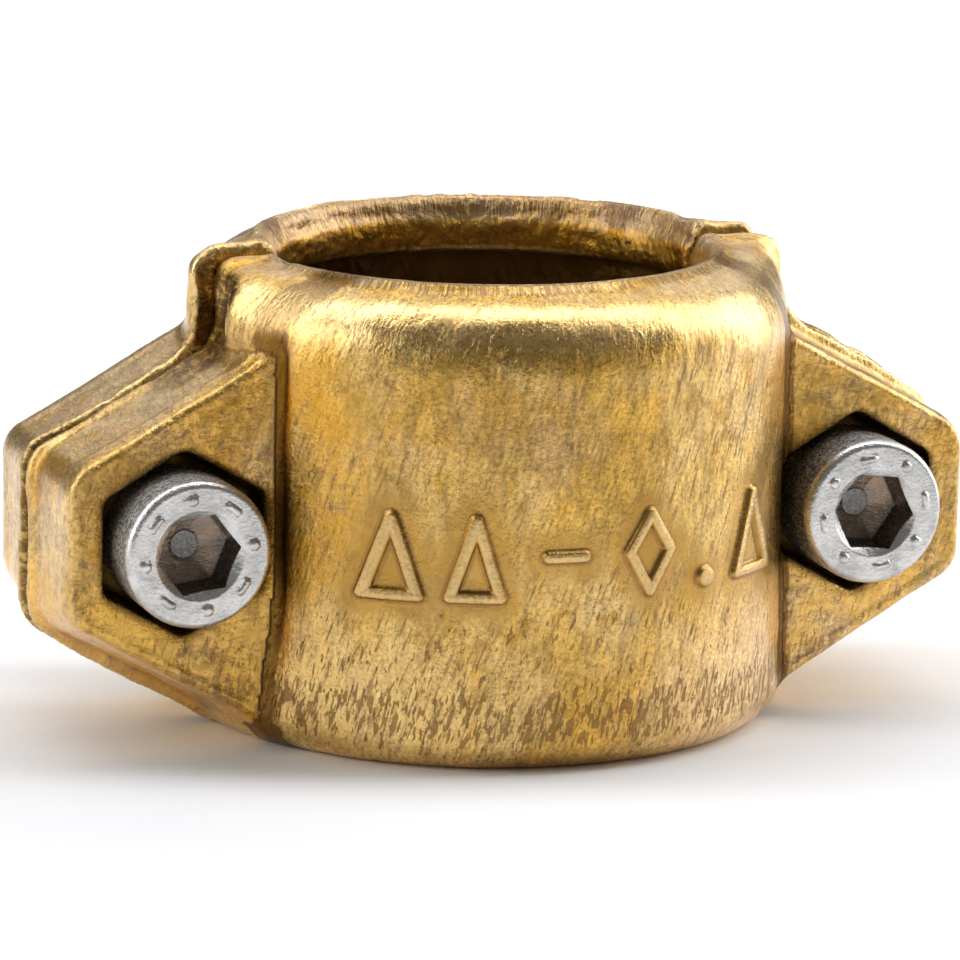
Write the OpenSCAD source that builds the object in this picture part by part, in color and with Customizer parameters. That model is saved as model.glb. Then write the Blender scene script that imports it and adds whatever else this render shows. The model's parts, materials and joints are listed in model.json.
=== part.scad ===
// Two-part brass hose clamp: two identical forged halves pulled together by two M6 cap screws and hex nuts.
// Millimetres. Origin on the bore axis in the base plane, +Z towards the lip, ears along X, front half at -Y.

/* [Barrel] */
// Outside diameter of the barrel
barrel_d = 41; // [40:0.5:43]
// Height of the barrel up to the crown of its dome
barrel_h = 31.7; // [31.1:0.2:32.5]
// Radius of the dome at the lip end
dome_r = 5; // [4:0.25:5]
// Radius of the outer edge at the hose end
base_r = 3; // [2:0.25:3]
// Height of the trimmed rim above the dome
rim_h = 0.5; // [0.3:0.1:0.8]
// Gap between the mating faces when the clamp is closed on its hose
parting_gap = 0.4; // [0.4:0.1:1]

/* [Bore] */
// Outside diameter of the hose, which the bore grips
hose_d = 32; // [31:0.5:33]
// Diameter of the opening in the lip
lip_d = 29.8; // [29:0.2:30.4]
// Thickness of the lip, rim included
lip_t = 3.5; // [3:0.25:4]
// Diameter of the groove that holds the fitting's collar
groove_d = 35.6; // [34.6:0.2:36]
// Height of that groove
groove_h = 5.5; // [4:0.5:6]
// How far the grip ribs stand into the bore
rib_depth = 0.8; // [0.4:0.1:1]

/* [Ears] */
// Distance from the bore axis to a screw axis
screw_x = 24.1; // [23.8:0.1:24.6]
// Height of the screw axes above the base
screw_z = 14.3; // [13.8:0.1:14.8]
// Distance from the bore axis to an ear's outer side
ear_x = 32; // [31.6:0.2:33]
// Distance from the bore axis to an ear's outer face
ear_y = 8.5; // [8:0.25:9]
// Middle height of an ear's outer face above the base
ear_mid_z = 14.2; // [13.8:0.1:14.4]
// Slope of the ear's upper and lower sides, in degrees
ear_slope = 29; // [28:1:32]
// Across-flats size of the hexagon pocket at its mouth
pocket_af = 11.5; // [11.2:0.1:11.8]
// Depth of the hexagon pocket
pocket_depth = 2.6; // [2.2:0.1:3]

/* [Fasteners] */
// Nominal thread diameter
thread_d = 6; // [6]
// Thread pitch
thread_pitch = 1; // [1]
// Length of a screw under its head
screw_length = 25; // [20:5:25]
// Turn of the left screw's socket from flats-level, in degrees
left_turn = 8; // [0:1:59]
// Turn of the right screw's socket from flats-level, in degrees
right_turn = 54; // [0:1:59]

/* [Hidden] */
$fn = 64;
eps = 0.01;
shy = 0.02;
far = 60;

barrel_r = barrel_d / 2;
hose_r = hose_d / 2;
lip_r = lip_d / 2;
rim_z = barrel_h + rim_h;
rim_w = 0.35;
lip_z = rim_z - lip_t;
groove_z = lip_z - groove_h;
mouth_r = 0.5;
core_r = 10;

rib_count = 3;
rib_pitch = 6.2;
rib_first_z = 5.2;
rib_land = 1.2;

flange_t = 0.9;
flange_out = 0.6;
flange_top_z = barrel_h + 0.2;
flange_top_r = 2;

ear_edge = 0.4;
ear_side_h = 4.9;
ear_corner_r = 2.5;
ear_foot_z = 0.4;
side_draft = 0.4;
upper_draft = 0.4;
lower_draft = 1.6;
ear_flange = 0.4;
ear_root_r = 3;
ear_in_x = (hose_d + barrel_d) / 4 - 1;
hole_r = 3.5;
pocket_floor_af = 10.5;
seat_y = ear_y - pocket_depth;

head_d = 10;
head_h = thread_d;
head_edge = 0.5;
socket_af = 5;
socket_depth = 3.2;
socket_lead = 0.35;
seat_gap = 0.05;
thread_r = thread_d / 2 - 0.05;
thread_depth = thread_pitch / 2;
thread_crest = thread_pitch / 4;
thread_runout = 2;
tip_cone = 0.8;
nut_af = 10;
nut_h = 5.2;
nut_bore_r = thread_d / 2;
nut_face_r = nut_af / 2 - 0.1;
nut_chamfer_slope = 0.55;
nut_lead = 0.4;

mark_h = 6.2;
mark_w = 4;
mark_stroke = 0.7;
mark_raise = 0.35;
mark_z = 14.7;
triangle_x = [-12.4, -7.4, 13.4];
dash_x = -1.6;
diamond_x = 4.4;
dot_x = 9;
head_mark_r = 3.75;
head_mark_h = 0.15;
head_mark_count = 8;

brass = "#b08a3c";
steel = "#c8c8cc";

// Turns a drawing in x and z into a solid that runs from y = -start towards the front.
module towards_front(start, depth) {
    translate([0, -start, 0]) rotate([90, 0, 0]) linear_extrude(depth) children();
}

// Stands a turned shape on a screw axis: its own +Z points to the front.
module on_screw_axis(side, y) {
    translate([side * screw_x, y, screw_z]) rotate([90, 0, 0]) children();
}

// ---- one forged half ----

module barrel_profile() {
    translate([core_r, base_r]) square([barrel_r - core_r, barrel_h - dome_r - base_r]);
    translate([core_r, 0]) square([barrel_r - base_r - core_r, base_r + eps]);
    translate([barrel_r - base_r, base_r]) circle(base_r);
    translate([barrel_r - dome_r, barrel_h - dome_r]) circle(dome_r);
    translate([core_r, barrel_h - dome_r - eps]) square([barrel_r - dome_r - core_r, dome_r + eps]);
    polygon([[core_r, barrel_h - 1], [lip_r + rim_w + rim_h + 1, barrel_h - 1],
             [lip_r + rim_w, rim_z], [core_r, rim_z]]);
}

module rib_profile(z) {
    crest = hose_r - rib_depth;
    half_land = rib_land / 2;
    foot = half_land + rib_depth;
    translate([0, z]) polygon([[crest, -half_land], [hose_r + 1, -foot - 1],
                               [hose_r + 1, foot + 1], [crest, half_land]]);
}

module bore_profile() {
    difference() {
        translate([0, -1]) square([hose_r, groove_z + 1 + eps]);
        for (i = [0:rib_count - 1]) rib_profile(rib_first_z + i * rib_pitch);
    }
    difference() {
        translate([0, -1]) square([hose_r + mouth_r, 1 + mouth_r]);
        translate([hose_r + mouth_r, mouth_r]) circle(mouth_r);
    }
    translate([0, groove_z]) square([groove_d / 2, groove_h]);
    translate([0, lip_z - eps]) square([lip_r, lip_t + 1]);
}

module front_space() {
    translate([-far, -far - parting_gap / 2, -far]) cube([2 * far, far, 2 * far]);
}

// Outline of one ear: an upright outer side and two slopes, with round corners. The outer side,
// the upper slope and the lower slope each move out by their own amount.
module ear_outline(side, upper, lower) {
    side_x = ear_x + side;
    r = ear_corner_r;
    reach = r * tan((90 - ear_slope) / 2);
    top = ear_mid_z + ear_side_h + upper - side * tan(ear_slope);
    bottom = ear_mid_z - ear_side_h - lower + side * tan(ear_slope);
    root_rise = (side_x - ear_in_x) * tan(ear_slope);
    foot_x = side_x - (bottom - ear_foot_z) / tan(ear_slope);
    polygon([[ear_in_x, top + root_rise],
             [side_x - reach * cos(ear_slope), top + reach * sin(ear_slope)],
             [side_x, top - reach],
             [side_x, bottom + reach],
             [side_x - reach * cos(ear_slope), bottom - reach * sin(ear_slope)],
             [max(foot_x, ear_in_x), max(bottom - root_rise, ear_foot_z)],
             [ear_in_x, max(bottom - root_rise, ear_foot_z)]]);
    for (z = [top - reach, bottom + reach]) translate([side_x - r, z]) circle(r - shy);
}

// One ear: the sides draft in towards the outer face, and the face's edge is broken.
module ear_block() {
    inset = ear_edge / cos(ear_slope);
    hull() {
        towards_front(parting_gap / 2, eps) ear_outline(side_draft, upper_draft, lower_draft, $fn = 32);
        towards_front(ear_y - ear_edge, eps) ear_outline(0, 0, 0, $fn = 32);
        towards_front(ear_y - eps, eps) ear_outline(-ear_edge, -inset, -inset, $fn = 32);
    }
}

// The trimmed parting flange's outline where it follows the barrel.
module barrel_flange_outline() {
    w = barrel_r + flange_out;
    h = flange_top_z;
    translate([-w, base_r]) square([2 * w, h - base_r - flange_top_r]);
    translate([base_r - w, 0]) square([2 * (w - base_r), base_r + eps]);
    translate([flange_top_r - w, h - flange_top_r - eps]) square([2 * (w - flange_top_r), flange_top_r + eps]);
    for (s = [-1, 1]) {
        translate([s * (w - base_r), base_r]) circle(base_r);
        translate([s * (w - flange_top_r), h - flange_top_r]) circle(flange_top_r);
    }
}

// Fillet between the barrel's flange and the upper side of an ear.
module root_fillet_outline() {
    wall_x = barrel_r + flange_out;
    meet_z = ear_mid_z + ear_side_h + upper_draft + ear_flange / cos(ear_slope)
             + (ear_x - wall_x) * tan(ear_slope);
    reach = ear_root_r * tan((90 - ear_slope) / 2);
    centre = [wall_x + ear_root_r, meet_z + reach];
    foot = [wall_x + reach * cos(ear_slope), meet_z - reach * sin(ear_slope)];
    difference() {
        polygon([[wall_x - 1, centre.y], [wall_x, centre.y], foot, [wall_x - 1, foot.y]]);
        translate(centre) circle(ear_root_r);
    }
}

module flange_outline() {
    barrel_flange_outline();
    for (s = [0, 1]) mirror([s, 0]) {
        ear_outline(side_draft + ear_flange, upper_draft + ear_flange / cos(ear_slope),
                    lower_draft + ear_flange / cos(ear_slope));
        root_fillet_outline();
    }
}

// Raised outline of a closed polygon given in mark heights and widths: the shape less a smaller copy.
module ring_mark(x, points, inner) {
    translate([x, mark_z]) difference() {
        polygon([for (p = points) [p.x * mark_w, p.y * mark_h]]);
        translate([0, inner.y]) polygon([for (p = points) [p.x * mark_w, p.y * mark_h] * inner.x]);
    }
}

// Raised triangles, a dash, a diamond and a dot on the front of the barrel, drawn in x and z.
module mark_outline() {
    triangle = [[-0.5, -0.5], [0.5, -0.5], [0, 0.5]];
    diamond = [[-0.5, 0], [0, -0.5], [0.5, 0], [0, 0.5]];
    for (x = triangle_x) ring_mark(x, triangle, [0.5, -0.6]);
    ring_mark(diamond_x, diamond, [0.6, 0]);
    translate([dash_x, mark_z]) square([mark_w - mark_stroke, mark_stroke], center = true);
    translate([dot_x, mark_z - mark_h / 2 + mark_stroke]) circle(mark_stroke);
}

module marks() {
    intersection() {
        difference() {
            cylinder(r = barrel_r + mark_raise, h = barrel_h);
            translate([0, 0, -1]) cylinder(r = barrel_r - 1, h = barrel_h + 2);
        }
        towards_front(ear_y, barrel_r) mark_outline();
    }
}

module half_shell() {
    difference() {
        union() {
            intersection() {
                rotate_extrude() barrel_profile();
                front_space();
            }
            towards_front(parting_gap / 2, flange_t) flange_outline();
            for (s = [0, 1]) mirror([s, 0, 0]) ear_block();
            marks();
        }
        rotate_extrude() bore_profile();
        for (side = [-1, 1]) {
            on_screw_axis(side, 0) cylinder(r = hole_r, h = far);
            on_screw_axis(side, -seat_y) rotate([0, 0, 30]) tapered_pocket();
        }
    }
}

module tapered_pocket() {
    over = 1;
    grow = (pocket_af - pocket_floor_af) / pocket_depth * over;
    cylinder(r1 = pocket_floor_af / sqrt(3), r2 = (pocket_af + grow) / sqrt(3),
             h = pocket_depth + over, $fn = 6);
}

module front_half() { color(brass) half_shell(); }
module rear_half() { color(brass) rotate([0, 0, 180]) half_shell(); }

// ---- fasteners, on their own axis, with the seat at z = 0 and the head towards +Z ----

module head_profile() {
    r = head_d / 2;
    polygon([[0, 0], [r, 0], [r, head_h - head_edge], [r - head_edge, head_h], [0, head_h]]);
}

// The thread is drawn as rings of the real pitch.
module shank_profile() {
    rings = floor((screw_length - tip_cone - thread_runout) / thread_pitch);
    root = thread_r - thread_depth;
    mouth = (thread_pitch - thread_crest) / 2;
    difference() {
        polygon([[0, eps], [thread_r, eps], [thread_r, tip_cone - screw_length],
                 [thread_r - tip_cone, -screw_length], [0, -screw_length]]);
        for (i = [0:rings - 1]) translate([0, -thread_runout - (i + 0.5) * thread_pitch])
            polygon([[root, -0.1], [thread_r + eps, -mouth], [thread_r + eps, mouth], [root, 0.1]]);
    }
}

module socket(turn) {
    corner = socket_af / sqrt(3);
    translate([0, 0, head_h - socket_depth]) rotate([0, 0, turn])
        cylinder(r = corner, h = socket_depth + 1, $fn = 6);
    translate([0, 0, head_h - socket_depth - 1]) cylinder(r1 = 0.2, r2 = socket_af / 2, h = 1 + eps);
    translate([0, 0, head_h - socket_lead]) cylinder(r1 = corner - socket_lead, r2 = corner + 0.1,
                                                     h = socket_lead + 0.1);
}

// Raised dots and dashes round the top of the head.
module head_marks(turn) {
    for (i = [0:head_mark_count - 1])
        rotate([0, 0, turn + i * 360 / head_mark_count]) translate([head_mark_r, 0, head_h - 0.1])
        if (i % 2 == 0) cylinder(r = 0.28, h = head_mark_h + 0.1);
        else translate([-0.15, -0.5, 0]) cube([0.3, 1, head_mark_h + 0.1]);
}

module cap_screw(side, turn) {
    color(steel) on_screw_axis(side, -seat_y - seat_gap) {
        difference() {
            rotate_extrude() {
                head_profile();
                shank_profile();
            }
            socket(turn);
        }
        head_marks(turn);
    }
}

module hex_nut(side) {
    cone_r = nut_face_r + nut_h / nut_chamfer_slope;
    color(steel) on_screw_axis(side, seat_y + nut_h) {
        difference() {
            intersection() {
                rotate([0, 0, 30]) cylinder(r = nut_af / sqrt(3), h = nut_h, $fn = 6);
                cylinder(r1 = nut_face_r, r2 = cone_r, h = nut_h);
                cylinder(r1 = cone_r, r2 = nut_face_r, h = nut_h);
            }
            translate([0, 0, -1]) cylinder(r = nut_bore_r, h = nut_h + 2);
            translate([0, 0, -eps]) cylinder(r1 = nut_bore_r + nut_lead, r2 = nut_bore_r, h = nut_lead);
            translate([0, 0, nut_h - nut_lead + eps])
                cylinder(r1 = nut_bore_r, r2 = nut_bore_r + nut_lead, h = nut_lead);
        }
    }
}

rear_half();
front_half();
cap_screw(-1, left_turn);  // left_cap_screw
cap_screw(1, right_turn);  // right_cap_screw
hex_nut(-1);  // left_hex_nut
hex_nut(1);  // right_hex_nut
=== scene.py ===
import json
import math

import bmesh
import bpy
import numpy as np
import openvdb
from mathutils import Matrix, Vector


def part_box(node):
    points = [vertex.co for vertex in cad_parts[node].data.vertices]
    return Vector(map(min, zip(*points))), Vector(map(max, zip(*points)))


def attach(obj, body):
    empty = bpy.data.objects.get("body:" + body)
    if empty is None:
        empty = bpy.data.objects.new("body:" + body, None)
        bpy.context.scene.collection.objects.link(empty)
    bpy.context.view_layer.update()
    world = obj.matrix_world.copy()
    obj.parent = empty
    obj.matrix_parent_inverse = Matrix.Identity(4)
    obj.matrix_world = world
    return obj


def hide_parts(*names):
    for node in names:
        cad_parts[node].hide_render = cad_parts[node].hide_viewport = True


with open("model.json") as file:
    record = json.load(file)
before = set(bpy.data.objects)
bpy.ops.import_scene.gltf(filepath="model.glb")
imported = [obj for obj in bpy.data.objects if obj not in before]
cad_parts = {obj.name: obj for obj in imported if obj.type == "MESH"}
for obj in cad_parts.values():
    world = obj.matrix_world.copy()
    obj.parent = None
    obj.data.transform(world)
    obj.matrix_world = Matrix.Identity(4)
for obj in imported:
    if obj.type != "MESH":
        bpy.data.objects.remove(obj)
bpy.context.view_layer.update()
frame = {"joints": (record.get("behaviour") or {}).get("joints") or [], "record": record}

MM = 0.001

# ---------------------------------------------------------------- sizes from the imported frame, in mm
half_low, half_high = (np.array(v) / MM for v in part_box("front_half"))
nut_low, nut_high = (np.array(v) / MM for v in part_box("right_hex_nut"))
joint_at = {j["child"]: np.array(j["pos_m"]) / MM for j in frame["joints"] if "pos_m" in j}
mount = {m["name"]: m for m in frame["record"]["mounts"]}
PARTING = -half_high[1]
TOP_Z = half_high[2]
MARK_RAISE = 0.35
BARREL_R = -half_low[1] - MARK_RAISE
EAR_FLANGE = 0.4
SIDE_DRAFT = 0.4
EAR_X = half_high[0] - EAR_FLANGE - SIDE_DRAFT
HEAD_GAP = 0.05
SCREW_X = joint_at["right_screw"][0]
SCREW_Z = joint_at["right_screw"][2]
SEAT_Y = -joint_at["right_screw"][1] - HEAD_GAP
LIP_R = mount["neck_opening"]["dims"]["r_mm"]
LIP_T = mount["neck_opening"]["dims"]["length_mm"]
RIB_DEPTH = 0.8
HOSE_R = mount["hose_bore"]["dims"]["r_mm"] + RIB_DEPTH

# ---------------------------------------------------------------- sizes of the forged form, in mm
VOXEL = 0.25
PAD = 1.0
# seeded noise: its wavelength and its number of waves
BIG_WAVES = (14.0, 10)
MID_WAVES = (4.5, 14)
FINE_WAVES = (1.5, 14)
# barrel and the rim round its opening
BASE_R = 2.3
DOME_R = 5.0
DOME_TIGHTER = 2.8
DOME_Z = TOP_Z - 0.6
RIM_W = 1.0
RIM_SLOPE = 0.75
RIM_H = 2.5
RIM_FILLET = 0.45
# ears; here and below, a pair of numbers says where something fades in, from none to full
EAR_Y = 8.5
EAR_SLOPE = math.radians(29)
EAR_TOP = 19.1
EAR_BOTTOM = 9.3
EAR_START = 12.0
UPPER_DRAFT = 0.4
LOWER_DRAFT = 1.6
EAR_FOOT_Z = 0.4
CORNER_ROUND = 1.2
FACE_ROUND = 0.55
EAR_TIP = (33, 28.5)
ROOT_ROUND = 0.9
LEFT_ROOT_ROUND = 1.7
ROOT_DENT = 0.85
ABOVE_EARS = (19.5, 21.5)
# each forging's seed, where its flash ends at its right and left, how high its ears' flash and its ears
# stand there, and how high its top stands
HALF_FORM = {
    "front_half": {"seed": 11, "right": 1.1, "left": -1.2, "ear_right": 0.6, "ear_left": -0.4,
                   "slope_right": 0.0, "slope_left": 0.0, "lift": 0.0},
    "rear_half": {"seed": 29, "right": 0.6, "left": -1.0, "ear_right": -0.25, "ear_left": 0.85,
                  "slope_right": -0.25, "slope_left": 0.8, "lift": 0.65},
}
LIFTED = (17, 26)
# flash along the parting plane
FLANGE_T = 0.9
FLASH_CORNER = 1.1
RIGHT_FLASH_CORNER = FLASH_CORNER + 0.9
FLASH_TOP = TOP_Z - 0.3
FLASH_BASE = 4.5
FLASH_FILLET = 1.6
TRIM_DEPTH = 3.8
TRIM_BOTTOM = 21.0
SHEAR_ROUND = 0.6
# bore, collar groove and lip
RIB_Z = (5.2, 11.4, 17.6)
RIB_LAND = 1.2
GROOVE_R = 17.8
GROOVE_H = 5.5
MOUTH_CHAMFER = 0.6
LIP_SHOULDER = (TOP_Z - 2.0, TOP_Z - 1.1)
LIP_FILLET = 0.9
# screw holes and pockets
HOLE_R = 3.5
POCKET_AF = 11.1
POCKET_FLOOR_AF = 10.5
EDGE_ROUND = 0.4
# raised marks
TRIANGLE_X = (-12.4, -7.4, 13.4)
DASH_X = -1.6
DIAMOND_X = 4.4
DOT_X = 9.0
DOT_R = 0.3
MARK_TOP = 17.2
MARK_MIDDLE = 14.7
MARK_FOOT = 12.0
DOT_Z = MARK_FOOT + 0.3
MARK_HALF_W = 1.55
DASH_HALF_W = MARK_HALF_W * 0.8
STROKE = 0.3
STROKE_EDGE = 0.2
FRONT_Y = -9


# ---------------------------------------------------------------- distance fields
def rounded(u, v, r):
    """Field of a corner of radius r, from how far points are past its centre each way."""
    return np.hypot(np.maximum(u, 0), np.maximum(v, 0)) - r


def round_max(a, b, r):
    """Where both fields end, with the corner between them rounded by about r."""
    u = np.maximum(a + r, 0)
    v = np.maximum(b + r, 0)
    return np.minimum(np.maximum(a, b), -r) + np.sqrt(u * u + v * v)


def soft_min(a, b, k):
    """Union of two fields with a fillet of about k."""
    h = np.maximum(k - np.abs(a - b), 0) / k
    return np.minimum(a, b) - h * h * k * 0.25


def soft_max(a, b, k):
    return -soft_min(-a, -b, k)


def smooth_step(a, b, v):
    """0 at a and 1 at b, held beyond."""
    t = np.clip((v - a) / (b - a), 0, 1)
    return t * t * (3 - 2 * t)


def hump(v, width):
    """1 where v is 0, fading away to both sides."""
    return np.exp(-(v / width) ** 2)


def waves(points, wavelength, count, rng):
    """Smooth seeded noise between about -1 and 1: a sum of plane waves."""
    total = np.zeros(points[0].shape, np.float32)
    for _ in range(count):
        direction = rng.normal(size=3)
        direction /= np.linalg.norm(direction)
        k = 2 * math.pi / (wavelength * rng.uniform(0.7, 1.6))
        phase = rng.uniform(0, 2 * math.pi)
        along = points[0] * direction[0] + points[1] * direction[1] + points[2] * direction[2]
        total += np.sin(along * k + phase)
    return total / math.sqrt(count)


def segment(x, z, a, b):
    """Distance from points in the x-z plane to a straight stroke."""
    ax, az = a
    dx, dz = b[0] - ax, b[1] - az
    t = np.clip(((x - ax) * dx + (z - az) * dz) / (dx * dx + dz * dz + 1e-9), 0, 1)
    return np.hypot(x - ax - t * dx, z - az - t * dz)


def mark_strokes():
    """Three triangles, a dash and a diamond, as strokes in x and z."""
    strokes = []
    for x in TRIANGLE_X:
        left = (x - MARK_HALF_W, MARK_FOOT)
        right = (x + MARK_HALF_W, MARK_FOOT)
        peak = (x, MARK_TOP)
        strokes += [(left, right), (right, peak), (peak, left)]
    strokes.append(((DASH_X - DASH_HALF_W, MARK_MIDDLE), (DASH_X + DASH_HALF_W, MARK_MIDDLE)))
    for side in (-1, 1):
        for end in (MARK_TOP, MARK_FOOT):
            strokes.append(((DIAMOND_X + side * MARK_HALF_W, MARK_MIDDLE), (DIAMOND_X, end)))
    return strokes


def mark_distance(x, z):
    """Distance to the middle line of the nearest stroke, or to the dot."""
    d = np.full(x.shape, 50.0, np.float32)
    for a, b in mark_strokes():
        d = np.minimum(d, segment(x, z, a, b))
    dot = np.hypot(x - DOT_X, z - DOT_Z) - DOT_R
    return np.minimum(d, dot)


def ear_sides(ax, z, t, grow=0.0):
    """Field of an ear's outline; t is 1 at the parting plane and 0 at the outer face."""
    c, s = math.cos(EAR_SLOPE), math.sin(EAR_SLOPE)
    side = ax - (EAR_X + SIDE_DRAFT * t + grow)
    upper = (z - EAR_TOP - UPPER_DRAFT * t) * c + (ax - EAR_X) * s - grow
    lower = (EAR_BOTTOM - LOWER_DRAFT * t - z) * c + (ax - EAR_X) * s - grow
    lower = soft_max(lower, EAR_FOOT_Z - z, 0.6)
    return round_max(round_max(side, upper, CORNER_ROUND), lower, CORNER_ROUND)


def hexagon(x, z, af, soft=0.5):
    """Field of a hexagon with corners up and down."""
    c = math.sqrt(3) / 2
    a, b, d = np.abs(x), np.abs(x / 2 + z * c), np.abs(x / 2 - z * c)
    return soft_max(soft_max(a, b, soft), d, soft) - af / 2


class HalfGrid:
    """Grid points round the half in front of the bore axis, with seeded noise on them."""

    def __init__(self, form):
        rng = np.random.default_rng(form["seed"])
        self.form = form
        self.low = half_low - PAD
        size = np.ceil((half_high + PAD - self.low) / VOXEL).astype(int) + 1
        axes = [self.low[i] + VOXEL * np.arange(size[i]) for i in range(3)]
        points = [a.astype(np.float32) for a in np.meshgrid(*axes, indexing="ij")]
        self.x, self.y, self.z = points
        self.big = waves(points, *BIG_WAVES, rng)
        self.mid = waves(points, *MID_WAVES, rng)
        self.fine = waves(points, *FINE_WAVES, rng)
        self.r = np.hypot(self.x, self.y)
        self.ax = np.abs(self.x)
        self.crown_z = self.z - form["lift"] * smooth_step(*LIFTED, self.z)
        self.on_barrel = smooth_step(*ABOVE_EARS, self.z)

    def by_side(self, right, left):
        return np.where(self.x > 0, right, left)

    def ear_raise(self, kind):
        """How high the form's ears stand, fading out at their tips."""
        raised = self.by_side(self.form[kind + "_right"], self.form[kind + "_left"])
        return raised * smooth_step(*EAR_TIP, self.ax)


def rim_field(g):
    """The trimmed rim that stands round the opening."""
    edge = g.r + 0.05 * g.mid + 0.02 * g.fine - (LIP_R + RIM_W)
    rim_side = (edge + (g.crown_z - TOP_Z) * RIM_SLOPE) / math.hypot(1, RIM_SLOPE)
    rim_top = g.crown_z - (TOP_Z - 0.1) + 0.03 * g.mid
    return np.maximum(np.maximum(rim_side, rim_top), TOP_Z - RIM_H - g.crown_z)


def barrel_field(g):
    """The barrel: rounded at its base and domed at the lip, with the rim."""
    wobble = 0.07 * g.big + 0.035 * g.mid
    rr = g.r + wobble
    dome_r = DOME_R - DOME_TIGHTER * smooth_step(-8.0, -1.0, g.y)
    top_part = rounded(rr - (BARREL_R - dome_r), g.crown_z + 0.5 * wobble - (DOME_Z - dome_r), dome_r)
    base_part = rounded(rr - (BARREL_R - BASE_R), BASE_R - g.z, BASE_R)
    return soft_min(np.maximum(top_part, base_part), rim_field(g), RIM_FILLET)


def ear_fields(g):
    """The ears, the outline of their sides, and their outer face."""
    t = np.clip((g.y + EAR_Y) / (EAR_Y - PARTING), -0.2, 1)
    outline = ear_sides(g.ax, g.z - g.ear_raise("slope"), t) + 0.05 * g.big + 0.03 * g.mid
    face = -g.y - EAR_Y + 0.04 * g.big + 0.02 * g.mid
    ear = round_max(outline, face, FACE_ROUND)
    # a shallow step follows the face's border, and a low rib follows the sides
    bead = hump(outline + 1.0, 0.3) - 0.7 * hump(outline + 0.45, 0.35)
    ear = ear + 0.13 * bead * np.clip(1 + face, 0, 1)
    ear = ear - 0.10 * hump(face + 1.5, 0.35) * np.clip(1 + outline, 0, 1)
    return np.maximum(ear, EAR_START - g.ax), outline, face


def flash_fields(g):
    """The flash along the parting plane: its trimmed edge, and the flash itself."""
    ragged = (0.05 * g.mid + 0.03 * g.fine) * (0.35 + 0.65 * g.on_barrel)
    width = BARREL_R + g.by_side(g.form["right"], g.form["left"])
    corner = g.by_side(RIGHT_FLASH_CORNER, FLASH_CORNER)
    top_part = rounded(g.ax - (width - corner), g.crown_z - (FLASH_TOP - corner), corner)
    low_part = rounded(g.ax - (width - FLASH_BASE), FLASH_BASE - g.z, FLASH_BASE)
    ears = ear_sides(g.ax, g.z - g.ear_raise("ear"), 1.0, EAR_FLANGE)
    edge = soft_min(np.maximum(top_part, low_part), ears, FLASH_FILLET) + ragged
    thick = -g.y - PARTING - FLANGE_T + (0.09 * g.mid + 0.03 * g.fine) * (0.3 + 0.7 * g.on_barrel)
    return edge, round_max(edge, thick, 0.3)


def with_flash(g, body, edge, flange):
    """The body trimmed back beside its flash, and sheared along the parting plane."""
    trimmed = soft_max(0.1 - edge, -g.y - PARTING - TRIM_DEPTH, 0.8)
    body = soft_max(body, -np.maximum(trimmed, TRIM_BOTTOM - g.z), 0.4)
    body = soft_min(body, flange, 0.5 + 0.8 * smooth_step(26, 29, g.z))
    # a raised burr at the right shoulder, and one beside the ears' parting edge
    ridge = hump(edge + 0.5 + 0.2 * g.mid, 0.2) * smooth_step(19.9, 20.5, g.x) * smooth_step(25.5, 27, g.z)
    sheared = np.maximum(0.05 + 0.06 * g.mid + 0.03 * g.fine, -0.03)
    body = round_max(body, g.y + PARTING + sheared - 0.4 * ridge, SHEAR_ROUND)
    beside = hump(-g.y - PARTING - 0.6, 0.25) * smooth_step(1.0, 0.2, np.abs(edge))
    return body - (0.14 + 0.06 * g.mid) * beside * (g.x > 0) * (1 - g.on_barrel)


def hollow_field(g):
    """The bore with its gripping ribs, the collar groove, and the opening in the lip."""
    bore = g.r - HOSE_R
    for rib_z in RIB_Z:
        flank = np.abs(g.z - rib_z) - RIB_LAND / 2 - (g.r - HOSE_R + RIB_DEPTH)
        bore = soft_max(bore, -np.maximum(HOSE_R - RIB_DEPTH - g.r, flank), 0.3)
    groove_z = TOP_Z - LIP_T - GROOVE_H
    bore = np.maximum(bore, g.z - groove_z - 0.5)
    mouth = g.r - HOSE_R - np.maximum(MOUTH_CHAMFER - g.z, 0)
    bore = np.minimum(bore, np.maximum(mouth, g.z - 1.0))
    groove = np.maximum(g.r - GROOVE_R, np.abs(g.z - groove_z - GROOVE_H / 2) - GROOVE_H / 2)
    shoulder = smooth_step(*LIP_SHOULDER, g.crown_z + 0.12 * g.mid)
    chamfer = np.maximum(g.crown_z - (TOP_Z - 0.75), 0) * 0.8
    lip = g.r - LIP_R + 0.04 * g.big + 0.03 * g.mid + 0.4 - 0.5 * shoulder - chamfer
    lip = np.maximum(lip, (TOP_Z - LIP_T) - g.z - 0.5)
    return soft_min(np.minimum(bore, groove), lip, LIP_FILLET)


def screw_cuts(g):
    """The screw holes together with their hexagonal pockets, and the pockets alone."""
    px = g.ax - SCREW_X
    pz = g.z - SCREW_Z
    hole = np.hypot(px, pz) - HOLE_R
    depth = np.clip((-g.y - SEAT_Y) / (EAR_Y - SEAT_Y), 0, 1.4)
    af = POCKET_FLOOR_AF + (POCKET_AF - POCKET_FLOOR_AF) * depth
    pocket = round_max(hexagon(px, pz, af) + 0.02 * g.mid, g.y + SEAT_Y, 0.3)
    return np.minimum(hole, pocket), pocket


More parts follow.
